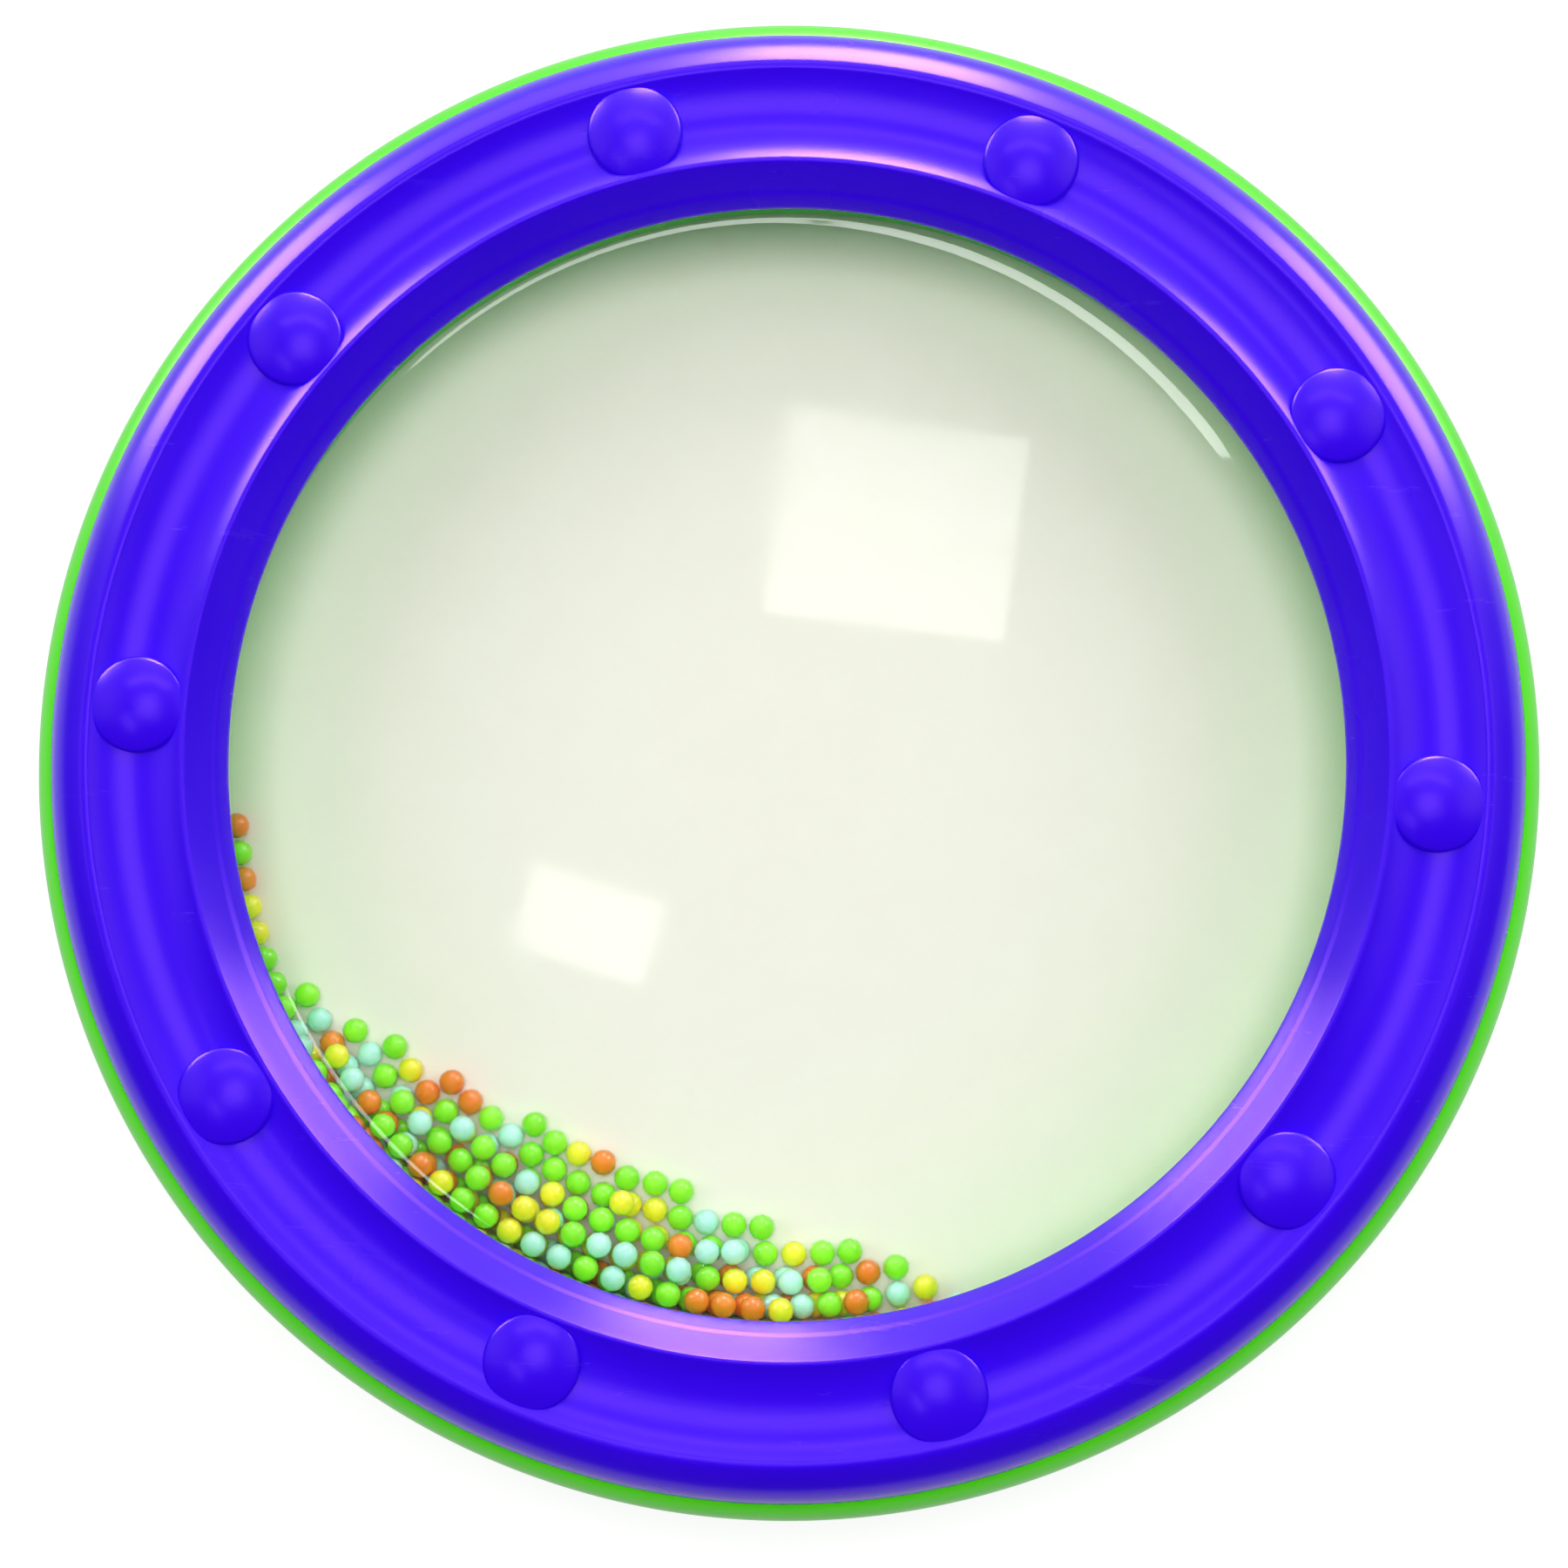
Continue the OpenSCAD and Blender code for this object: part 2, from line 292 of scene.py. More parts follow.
class Outline:
    """A wire in the plane of radius and height, in millimetres, that is turned into a solid."""

    def __init__(self, radius: float, height: float, rounding: float = 0.0) -> None:
        """Starts the wire at a corner.

        Args:
            radius: Distance from the axis.
            height: Height of the corner.
            rounding: How far from the corner its rounding starts.
        """
        self.bm = bmesh.new()
        self.corners: dict[float, list[bmesh.types.BMVert]] = {}
        self.first = self.last = self._corner(radius, height, rounding)

    def _corner(
        self, radius: float, height: float, rounding: float
    ) -> bmesh.types.BMVert:
        """Adds a vertex and notes how much it is rounded."""
        vert = self.bm.verts.new((mm(radius), 0.0, mm(height)))
        if rounding:
            self.corners.setdefault(rounding, []).append(vert)
        return vert

    def to(self, radius: float, height: float, rounding: float = 0.0) -> "Outline":
        """Draws a straight stretch to a new corner.

        Args:
            radius: The corner's distance from the axis.
            height: Its height.
            rounding: How far from the corner its rounding starts.

        Returns:
            The outline itself.
        """
        vert = self._corner(radius, height, rounding)
        self.bm.edges.new((self.last, vert))
        self.last = vert
        return self

    def around(
        self,
        radius: float,
        height: float,
        degrees: float,
        steps: int,
        rounding: float = 0.0,
    ) -> "Outline":
        """Draws an arc from the last corner about a centre.

        Args:
            radius: The centre's distance from the axis.
            height: The centre's height.
            degrees: Angle of the arc, from outwards towards up where positive.
            steps: Number of straight steps in the arc.
            rounding: How far from the arc's end its rounding starts.

        Returns:
            The outline itself.
        """
        arc = bmesh.ops.spin(
            self.bm,
            geom=[self.last],
            cent=(mm(radius), 0.0, mm(height)),
            axis=(0.0, 1.0, 0.0),
            dvec=(0.0, 0.0, 0.0),
            angle=-math.radians(degrees),
            steps=steps,
            use_duplicate=False,
        )
        self.last = next(
            v for v in arc["geom_last"] if isinstance(v, bmesh.types.BMVert)
        )
        if rounding:
            self.corners.setdefault(rounding, []).append(self.last)
        return self

    def closed(self) -> "Outline":
        """Joins the last corner to the first and returns the outline."""
        self.bm.edges.new((self.last, self.first))
        return self

    def turned(self, steps: int, segments: int = 3) -> bmesh.types.BMesh:
        """Rounds the corners and turns the wire about the drum's axis.

        Args:
            steps: Number of steps in the full turn.
            segments: Number of segments in each rounding.

        Returns:
            The turned solid, closed and with its faces outwards.
        """
        for size, verts in self.corners.items():
            bmesh.ops.bevel(
                self.bm,
                geom=verts,
                offset=mm(size),
                offset_type="OFFSET",
                affect="VERTICES",
                segments=segments,
                profile=0.5,
                clamp_overlap=True,
                material=-1,
            )
        bmesh.ops.spin(
            self.bm,
            geom=self.bm.verts[:] + self.bm.edges[:],
            cent=(0.0, 0.0, 0.0),
            axis=(0.0, 0.0, 1.0),
            dvec=(0.0, 0.0, 0.0),
            angle=math.tau,
            steps=steps,
            use_merge=True,
            use_duplicate=False,
        )
        bmesh.ops.remove_doubles(self.bm, verts=self.bm.verts, dist=mm(0.004))
        bmesh.ops.recalc_face_normals(self.bm, faces=self.bm.faces)
        return self.bm


def add_copy(
    target: bmesh.types.BMesh, source: bmesh.types.BMesh, place: Matrix
) -> None:
    """Adds a placed copy of one mesh to another.

    Args:
        target: The mesh that grows.
        source: The mesh that is copied, which stays as it is.
        place: Where the copy goes.
    """
    part = bpy.data.meshes.new("copy")
    source.to_mesh(part)
    part.transform(place)
    target.from_mesh(part)
    bpy.data.meshes.remove(part)


def finish_piece(
    name: str,
    bm: bmesh.types.BMesh,
    material: bpy.types.Material,
    body: str,
    nodes: Sequence[str],
    crease: float = 40.0,
) -> bpy.types.Object:
    """Makes a finished object of a mesh and ties it to the frame.

    Args:
        name: Name of the piece.
        bm: Its mesh, which is used up.
        material: Its finish.
        body: The CAD body that it moves with.
        nodes: The CAD nodes that it stands for.
        crease: Angle in degrees above which an edge stays sharp.

    Returns:
        The new object.
    """
    for face in bm.faces:
        face.smooth = True
    for edge in bm.edges:
        edge.smooth = edge.calc_face_angle(0.0) < math.radians(crease)
    mesh = bpy.data.meshes.new(name)
    bm.to_mesh(mesh)
    bm.free()
    mesh.materials.append(material)
    piece = bpy.data.objects.new(name, mesh)
    bpy.context.scene.collection.objects.link(piece)
    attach(piece, body)
    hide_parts(*nodes)
    LOG.info("%s: %d faces, stands for %s", name, len(mesh.polygons), ", ".join(nodes))
    return piece


class Colour(Enum):
    """The four bead colours, by the first word of their nodes' names."""

    GREEN = "green"
    YELLOW = "yellow"
    ORANGE = "orange"
    MINT = "mint"


class Layer(Enum):
    """The three layers of the bead pile."""

    LOW = "low"
    MIDDLE = "middle"
    TOP = "top"


@dataclass(frozen=True)
class MouldedPlastic:
    """Injection-moulded ABS: a satin gloss with a fine grain, flow marks and light scuffs."""

    name: str
    colour: str
    deep: str
    pale: str
    glint: str = "#FFFFFF"
    roughness: float = 0.3
    ior: float = 1.54
    grain_mm: float = 0.7
    ripple_mm: float = 14.0
    scuff_mm: float = 5.0

    def material(self) -> bpy.types.Material:
        """Builds the material from noise at the sizes of the real marks."""
        material, tree = new_material(self.name)
        place = add_node(tree, "ShaderNodeTexCoord").outputs["Object"]
        # Faint flow marks, a few centimetres long, move the colour a little
        flow = noise_at(tree, place, self.ripple_mm * 2, 3.0)
        tone = mixed(tree, flow, self.deep, self.colour)
        # Scuffs from handling are short pale strokes that also dull the gloss
        stretch = add_node(
            tree,
            "ShaderNodeMapping",
            values={"Scale": (1.0, 6.0, 1.0), "Rotation": (0.0, 0.0, 0.6)},
            links={"Vector": place},
        ).outputs["Vector"]
        scuff = noise_at(tree, stretch, self.scuff_mm * 4, 8.0, 0.7)
        worn = spread(tree, scuff, 0.0, 0.3, 0.62, 0.86)
        gloss = spread(tree, flow, self.roughness - 0.04, self.roughness + 0.06)
        # The mould's spark-eroded grain, drawn at 0.7 mm so that it shows, over slow sink waves
        grain = noise_at(tree, place, self.grain_mm, 2.0)
        fine = bumped(tree, grain, 0.12, 0.05)
        end_material(
            tree,
            {"IOR": self.ior, "Specular Tint": linear(self.glint)},
            {
                "Base Color": mixed(tree, worn, tone, self.pale),
                "Roughness": product_and_sum(tree, worn, 0.35, gloss),
                "Normal": bumped(tree, flow, 0.25, 0.3, fine),
            },
        )
        return material


@dataclass(frozen=True)
class CreamFilm:
    """Opaque cream polyester drum film: satin, with a faint mottle."""

    name: str = "cream_polyester_film"
    colour: str = "#F5F2E5"
    shade: str = "#F0EDDE"
    roughness: float = 0.42
    ior: float = 1.57
    mottle_mm: float = 9.0
    grain_mm: float = 0.8

    def material(self) -> bpy.types.Material:
        """Builds the material."""
        material, tree = new_material(self.name)
        place = add_node(tree, "ShaderNodeTexCoord").outputs["Object"]
        mottle = noise_at(tree, place, self.mottle_mm, 4.0)
        grain = noise_at(tree, place, self.grain_mm, 2.0)
        end_material(
            tree,
            {"IOR": self.ior},
            {
                "Base Color": mixed(tree, mottle, self.shade, self.colour),
                "Roughness": spread(
                    tree, mottle, self.roughness - 0.05, self.roughness + 0.05
                ),
                "Normal": bumped(tree, grain, 0.1, 0.04),
            },
        )
        return material


@dataclass(frozen=True)
class ClearFilm:
    """Clear polyester film: glossy, all but colourless, with faint smears of handling."""

    name: str = "clear_polyester_film"
    tint: str = "#FBFDFC"
    ior: float = 1.57
    roughness: float = 0.025
    smear_mm: float = 30.0

    def material(self) -> bpy.types.Material:
        """Builds the material, which lets lamps through so that the beads under it are lit."""
        material, tree = new_material(self.name)
        place = add_node(tree, "ShaderNodeTexCoord").outputs["Object"]
        smear = noise_at(tree, place, self.smear_mm, 5.0)
        gloss = spread(tree, smear, self.roughness, self.roughness + 0.05, 0.4, 0.75)
        glass = add_node(
            tree,
            "ShaderNodeBsdfPrincipled",
            values={
                "Base Color": linear(self.tint),
                "IOR": self.ior,
                "Transmission Weight": 1.0,
            },
            links={"Roughness": gloss},
        )
        clear = add_node(tree, "ShaderNodeBsdfTransparent")
        path = add_node(tree, "ShaderNodeLightPath").outputs
        shader = add_node(
            tree,
            "ShaderNodeMixShader",
            links={
                0: greatest(tree, [path["Is Shadow Ray"], path["Is Diffuse Ray"]]),
                1: glass.outputs["BSDF"],
                2: clear.outputs["BSDF"],
            },
        )
        add_node(
            tree,
            "ShaderNodeOutputMaterial",
            links={"Surface": shader.outputs["Shader"]},
        )
        return material


@dataclass(frozen=True)
class BeadPlastic:
    """Opaque polystyrene bead, tumbled smooth: soft gloss, each bead a touch lighter or darker."""

    name: str
    colour: str
    dark: str
    roughness: float = 0.28
    ior: float = 1.59
    grain_mm: float = 1.2

    def material(self) -> bpy.types.Material:
        """Builds the material, whose tone follows each bead's own value."""
        material, tree = new_material(self.name)
        place = add_node(tree, "ShaderNodeTexCoord").outputs["Object"]
        own = add_node(
            tree, "ShaderNodeAttribute", {"attribute_name": TONE_NAME}
        ).outputs["Fac"]
        cloud = noise_at(tree, place, self.grain_mm, 3.0)
        share = product_and_sum(tree, cloud, 0.25, own)
        end_material(
            tree,
            {
                "IOR": self.ior,
                "Subsurface Weight": 0.15,
                "Subsurface Scale": mm(0.8),
                "Subsurface Radius": (1.0, 1.0, 1.0),
            },
            {
                "Base Color": mixed(tree, share, self.dark, self.colour),
                "Roughness": spread(
                    tree, cloud, self.roughness - 0.05, self.roughness + 0.08
                ),
                "Normal": bumped(tree, cloud, 0.15, 0.05),
            },
        )
        return material


@dataclass(frozen=True)
class ZincSteel:
    """Bright zinc on cold-headed steel: a cool grey with dull spots and a fine relief."""

    name: str = "zinc_plated_steel"
    colour: str = "#C4C8CC"
    dull: str = "#9EA2A6"
    roughness: float = 0.3
    spot_mm: float = 1.2

    def material(self) -> bpy.types.Material:
        """Builds the material."""
        material, tree = new_material(self.name)
        place = add_node(tree, "ShaderNodeTexCoord").outputs["Object"]
        spots = noise_at(tree, place, self.spot_mm, 5.0)
        end_material(
            tree,
            {"Metallic": 1.0},
            {
                "Base Color": mixed(tree, spots, self.dull, self.colour),
                "Roughness": spread(
                    tree, spots, self.roughness + 0.12, self.roughness - 0.06
                ),
                "Normal": bumped(tree, spots, 0.2, 0.03),
            },
        )
        return material


@dataclass(frozen=True)
class DrumSizes:
    """Main sizes of the drum in millimetres, as the CAD source has them."""

    depth: float = 44.0
    wide_r: float = 125.0
    bearing: float = 9.0
    rim_r: float = 121.6
    crest_r: float = 114.7
    crest_flat: float = 0.6
    ridge_r: float = 98.3
    window_r: float = 92.3
    ring_r: float = 106.5
    band_drop: float = 7.4
    channel_arc: float = 14.2273
    channel_deep: float = 2.2
    cone_drop: float = 7.7
    lip: float = 0.7
    wall: float = 2.2
    chamber_r: float = 98.0
    stud_n: int = 10
    stud_turn: float = 31.6
    stud_r: float = 7.9
    post_r: float = 3.5

    def stud_places(self) -> Iterable[Matrix]:
        """Returns one placing for each stud round the drum."""
        for i in range(self.stud_n):
            turn = math.radians(self.stud_turn + i * 360 / self.stud_n)
            yield Matrix.Rotation(turn, 4, "Z") @ Matrix.Translation(
                (mm(self.ring_r), 0.0, 0.0)
            )

    def turned_over(self) -> Matrix:
        """Returns the placing that turns a piece of the drum's front into one of its rear."""
        return Matrix.Translation((0.0, 0.0, mm(self.depth))) @ Matrix.Rotation(
            math.pi, 4, "X"
        )


@dataclass
class Rim:
    """A moulded rim, modelled with its face up at the drum's depth.

    Its outer band is three arcs, each with its radius, the slope it starts at, its turn and its
    steps. The crease in its cone is two corners, each with its radius and its drop.
    """

    sizes: DrumSizes
    steps: int = 360
    stud_steps: int = 72
    soft: float = 0.28
    crease: tuple[tuple[float, float], ...] = ((94.0, 5.4), (94.7, 4.82))
    cone_foot_r: float = 94.54
    band_in_r: float = 115.5
    band_roof: float = 2.95
    spigot_r: float = 119.05
    spigot_in_r: float = 117.25
    spigot_h: float = 4.0
    rib_r: float = 102.55
    rib_in_r: float = 100.45
    rib_roof: float = 3.4
    rib_in_roof: float = 2.7
    rib_foot: float = 11.15
    band: tuple[tuple[float, float, float, int], ...] = (
        (2.0, 0.0, 27.0, 6),
        (17.2, 27.0, 11.0, 6),
        (9.05, 38.0, 38.0, 10),
    )

    def ring(self) -> bmesh.types.BMesh:
        """Returns the turned ring: face, foot and spigot, without the rib over the hoop."""
        s = self.sizes
        top = s.depth
        foot_z = top - s.band_drop
        channel_z = top + s.channel_arc - s.channel_deep
        half = math.degrees(
            math.asin((s.crest_r - s.crest_flat - s.ring_r) / s.channel_arc)
        )
        under = s.channel_arc + s.wall
        outer_turn = math.degrees(math.acos((self.band_in_r - s.ring_r) / under))
        inner_turn = math.degrees(math.acos((s.ring_r - s.ridge_r) / under))
        outline = Outline(s.window_r, top - s.cone_drop - s.lip, 0.2)
        outline.to(s.window_r, top - s.cone_drop, 0.4)
        for radius, drop in self.crease:
            outline.to(radius, top - drop, 0.25)
        outline.to(s.ridge_r, top, self.soft)
        outline.to(s.ridge_r + s.crest_flat, top, self.soft)
        outline.around(s.ring_r, channel_z, 2 * half, 32, self.soft)
        outline.to(s.crest_r, top)
        for arc, slope, turn, steps in self.band:
            lean = math.radians(slope)
            at = outline.last.co / mm(1.0)
            outline.around(
                at.x - arc * math.sin(lean), at.z - arc * math.cos(lean), -turn, steps
            )
        outline.to(s.rim_r, foot_z, 0.3)
        outline.to(self.spigot_r, foot_z)
        outline.to(self.spigot_r, foot_z - self.spigot_h, 0.4)
        outline.to(self.spigot_in_r, foot_z - self.spigot_h, 0.4)
        outline.to(self.spigot_in_r, top - self.band_roof)
        bend_z = channel_z - under * math.sin(math.radians(outer_turn))
        outline.to(self.band_in_r, bend_z)
        outline.around(s.ring_r, channel_z, -(180 - outer_turn - inner_turn), 24)
        outline.to(self.cone_foot_r, top - s.cone_drop - s.lip)
        return outline.closed().turned(self.steps)

    def rib(self) -> bmesh.types.BMesh:
        """Returns the rib that presses on the hoop, which joins the channel's underside."""
        top, inner, outer = self.sizes.depth, self.rib_in_r, self.rib_r
        outline = Outline(inner, top - self.rib_in_roof).to(outer, top - self.rib_roof)
        outline.to(outer, top - self.rib_foot, 0.3).to(inner, top - self.rib_foot, 0.3)
        return outline.closed().turned(self.steps // 2)

    def ribbed_ring(self) -> bmesh.types.BMesh:
        """Returns the turned ring with its rib."""
        ring, rib = self.ring(), self.rib()
        add_copy(ring, rib, Matrix.Identity(4))
        rib.free()
        return ring

    def add_studs(self, ring: bmesh.types.BMesh, stud: bmesh.types.BMesh) -> None:
        """Adds one stud at each place to the ring.

        Args:
            ring: The ring, which grows.
            stud: One stud about its own axis, which is used up.
        """
        for place in self.sizes.stud_places():
            add_copy(ring, stud, place)
        stud.free()


@dataclass
class FrontRim(Rim):
    """The violet rim, whose domed studs end in the posts that take the screws."""

    rise: float = -0.6
    dome: float = 2.0
    skirt_z: float = 40.7
    roof_z: float = 42.2
    post_end_z: float = 23.4
    pilot_r: float = 1.35
    pilot_end_z: float = 34.6

    def stud(self) -> bmesh.types.BMesh:
        """Returns one domed stud with its screw post."""
        s = self.sizes
        edge = s.depth + self.rise
        arc = (s.stud_r**2 + self.dome**2) / (2 * self.dome)
        reach = math.degrees(math.asin(s.stud_r / arc))
        outline = Outline(0.0, edge + self.dome)
        outline.around(0.0, edge + self.dome - arc, -reach, 10, 0.5)
        outline.to(s.stud_r, self.skirt_z).to(s.stud_r - s.wall, self.skirt_z)
        outline.to(s.stud_r - s.wall, self.roof_z).to(s.post_r, self.roof_z)
        outline.to(s.post_r, self.post_end_z, 0.3).to(self.pilot_r, self.post_end_z, 0.2)
        outline.to(self.pilot_r, self.pilot_end_z).to(0.0, self.pilot_end_z)
        return outline.turned(self.stud_steps, 4)

    def build(self, material: bpy.types.Material) -> bpy.types.Object:
        """Builds the rim and puts it in its node's place."""
        bm = self.ribbed_ring()
        self.add_studs(bm, self.stud())
        return finish_piece(
            "violet_front_rim", bm, material, DRUM, ["front_rim"]
        )


@dataclass
class RearRim(Rim):
    """The green rim under the drum, whose open studs seat the screws."""

    stud_clear: float = 0.5
    land_w: float = 1.6
    skirt_z: float = 3.3
    roof_z: float = 2.7
    head_bore_r: float = 3.2
    head_wall_r: float = 4.6
    head_wall_z: float = 8.9
    seat_z: float = 7.5
    hole_r: float = 1.7
    post_end_z: float = 20.6

    def stud(self) -> bmesh.types.BMesh:
        """Returns one open stud with its counterbore, drawn with the face down."""
        s = self.sizes
        outline = Outline(self.head_bore_r, self.stud_clear, 0.3)
        outline.to(s.stud_r, self.stud_clear, 0.5).to(s.stud_r, self.skirt_z)
        outline.to(s.stud_r - s.wall, self.skirt_z).to(s.stud_r - s.wall, self.roof_z)
        outline.to(self.head_wall_r, self.roof_z).to(self.head_wall_r, self.head_wall_z)
        outline.to(s.post_r, self.head_wall_z).to(s.post_r, self.post_end_z, 0.3)
        outline.to(self.hole_r, self.post_end_z, 0.2).to(self.hole_r, self.seat_z)
        outline.to(self.head_bore_r, self.seat_z)
        return outline.closed().turned(self.stud_steps, 4)

    def land(self) -> bmesh.types.BMesh:
        """Returns the flat land round the crest that the drum rests on."""
        s = self.sizes
        inner, outer = s.crest_r - self.land_w / 2, s.crest_r + self.land_w / 2
        outline = Outline(inner, 0.0, 0.15).to(outer, 0.0, 0.15)
        return outline.to(outer, s.wall).to(inner, s.wall).closed().turned(self.steps)

    def build(self, material: bpy.types.Material) -> bpy.types.Object:
        """Builds the rim face up, turns it over and adds the land and the studs."""
        bm, land = self.ribbed_ring(), self.land()
        bmesh.ops.transform(bm, matrix=self.sizes.turned_over(), verts=bm.verts)
        add_copy(bm, land, Matrix.Identity(4))
        land.free()
        self.add_studs(bm, self.stud())
        return finish_piece(
            "green_rear_rim", bm, material, DRUM, ["rear_rim"]
        )


@dataclass
class Shell:
    """The lime green shell: a round outer wall and the chamber's wall, joined by a web."""

    sizes: DrumSizes
    steps: int = 360
    shoulder_arc: float = 7.91
    shoulder_drop: float = 6.5
    edge_w: float = 2.4
    chamber_wall: float = 1.8
    web: float = 2.4
    inset: float = 0.01

    def build(self, material: bpy.types.Material) -> bpy.types.Object:
        """Builds the shell as one turned section."""
        s = self.sizes
        mid = s.depth / 2
        half = mid - s.band_drop
        shoulder_z = half - self.shoulder_drop
        wide_r = s.wide_r - self.inset
        centre_r = wide_r - self.shoulder_arc
        turn = math.degrees(math.asin(self.shoulder_drop / self.shoulder_arc))
        bore_r = s.rim_r - self.edge_w
        thin = self.shoulder_arc - s.wall
        inner_turn = math.degrees(math.acos((bore_r - centre_r) / thin))
        inner_z = shoulder_z + thin * math.sin(math.radians(inner_turn))
        web_z, chamber_z = self.web / 2, mid - s.bearing
        back_r = s.chamber_r + self.chamber_wall
        outline = Outline(s.chamber_r, mid - chamber_z, 0.3)
        outline.to(s.chamber_r, mid + chamber_z, 0.3).to(back_r, mid + chamber_z, 0.3)
        outline.to(back_r, mid + web_z, 0.4).to(wide_r - s.wall, mid + web_z, 0.4)
        outline.to(wide_r - s.wall, mid + shoulder_z)
        outline.around(centre_r, mid + shoulder_z, inner_turn, 8)
        outline.to(bore_r, mid + inner_z).to(bore_r, mid + half, 0.3)
        outline.to(s.rim_r, mid + half, 0.25)
        outline.around(centre_r, mid + shoulder_z, -turn, 16)
        outline.to(wide_r, mid).to(wide_r, mid - shoulder_z)
        outline.around(centre_r, mid - shoulder_z, -turn, 16)
        outline.to(bore_r, mid - half, 0.3).to(bore_r, mid - inner_z)
        outline.around(centre_r, mid - shoulder_z, inner_turn, 8)
        outline.to(wide_r - s.wall, mid - web_z, 0.4)
        outline.to(back_r, mid - web_z, 0.4).to(back_r, mid - chamber_z, 0.3)
        bm = outline.closed().turned(self.steps)
        return finish_piece(
            "lime_drum_shell", bm, material, DRUM, ["drum_shell"]
        )


@dataclass
class Head:
    """A drum head: a film disc whose skirt wraps the chamber's wall.

    The rim's lip presses its edge down at the top and at the lower left, which press_top and
    press_low point to. The pressed strip is widest where press_right points.
    """

    sizes: DrumSizes
    film: float = 0.35
    skirt: float = 6.5
    skirt_r: float = 100.3
    steps: int = 240
    rings: int = 20
    fine_from: float = 84.0
    fine_step: float = 0.3
    wave: float = 0.06
    wave_mm: float = 45.0
    press_slope: float = 10.0
    press_end: float = 97.6
    press_fade: float = 3.4
    press_top: tuple[float, float] = (0.139, 0.99)
    press_low: tuple[float, float] = (-0.788, -0.616)
    press_right: tuple[float, float] = (0.866, 0.5)

    def pressed(self, radius: float, at: Vector) -> float:
        """Returns how far the rim's lip presses the film down at a place.

        Args:
            radius: Distance from the axis in millimetres.
            at: The place's direction from the axis, as a unit vector.

        Returns:
            The drop in millimetres, deepest at the head's top and at its lower left.
        """
        right = max(0.0, at.dot(Vector((*self.press_right, 0.0))))
        # Each lobe's share falls off with the turn from its middle, the low one's faster
        top = 1.9 * at.dot(Vector((*self.press_top, 0.0))) - 0.35
        low = 2.6 * at.dot(Vector((*self.press_low, 0.0))) - 1.6
        # The pressed strip is widest at the right and wavers like cut film
        sway = 0.25 * noise.noise(at * 2.1 + Vector((0.4, 1.9, 0.0)))
        slope = self.press_slope * min(1.0, max(0.0, top, low))
        width = 0.9 + 1.6 * right**2 + sway
        start = self.sizes.window_r - 1.1 - 1.3 * right**4 - width
        depth = width * math.tan(math.radians(slope))
        down = min(1.0, max(0.0, (radius - start) / width))
        back = min(1.0, max(0.0, (self.press_end - radius) / self.press_fade))
        return depth * down * back**2 * (3 - 2 * back)

    def disc(self) -> bmesh.types.BMesh:
        """Returns the head face up: a pressed edge and slow waves, all away from the beads."""
        top = self.sizes.depth - self.sizes.bearing + self.film
        radii = [self.fine_from * i / self.rings for i in range(1, self.rings)]
        reach = self.fine_from
        while reach < self.skirt_r - 1.0:
            radii.append(reach)
            reach += self.fine_step
        outline = Outline(0.0, top)
        for radius in radii:
            outline.to(radius, top)
        outline.to(self.skirt_r, top, 0.3)
        outline.to(self.skirt_r, top - self.skirt)
        outline.to(self.skirt_r - self.film, top - self.skirt)
        outline.to(self.skirt_r - self.film, top - self.film)
        for radius in reversed(radii):
            outline.to(radius, top - self.film)
        outline.to(0.0, top - self.film)
        bm = outline.turned(self.steps)
        for vert in bm.verts:
            flat = Vector((vert.co.x, vert.co.y, 0.0))
            radius = flat.length / mm(1.0)
            share = max(0.0, 1.0 - (radius / self.sizes.window_r) ** 4)
            bulge = 0.5 + 0.5 * noise.noise(flat / mm(self.wave_mm))
            vert.co.z += mm(self.wave) * share * bulge
            vert.co.z -= mm(self.pressed(radius, flat.normalized()))
        return bm

    def build_clear(self, material: bpy.types.Material) -> bpy.types.Object:
        """Builds the clear head over the beads."""
        return finish_piece(
            "clear_front_head",
            self.disc(),
            material,
            DRUM,
            ["front_head"],
        )

    def build_cream(self, material: bpy.types.Material) -> bpy.types.Object:
        """Builds the cream head, turned over under the beads."""
        bm = self.disc()
        bmesh.ops.transform(bm, matrix=self.sizes.turned_over(), verts=bm.verts)
        return finish_piece(
            "cream_rear_head", bm, material, DRUM, ["rear_head"]
        )


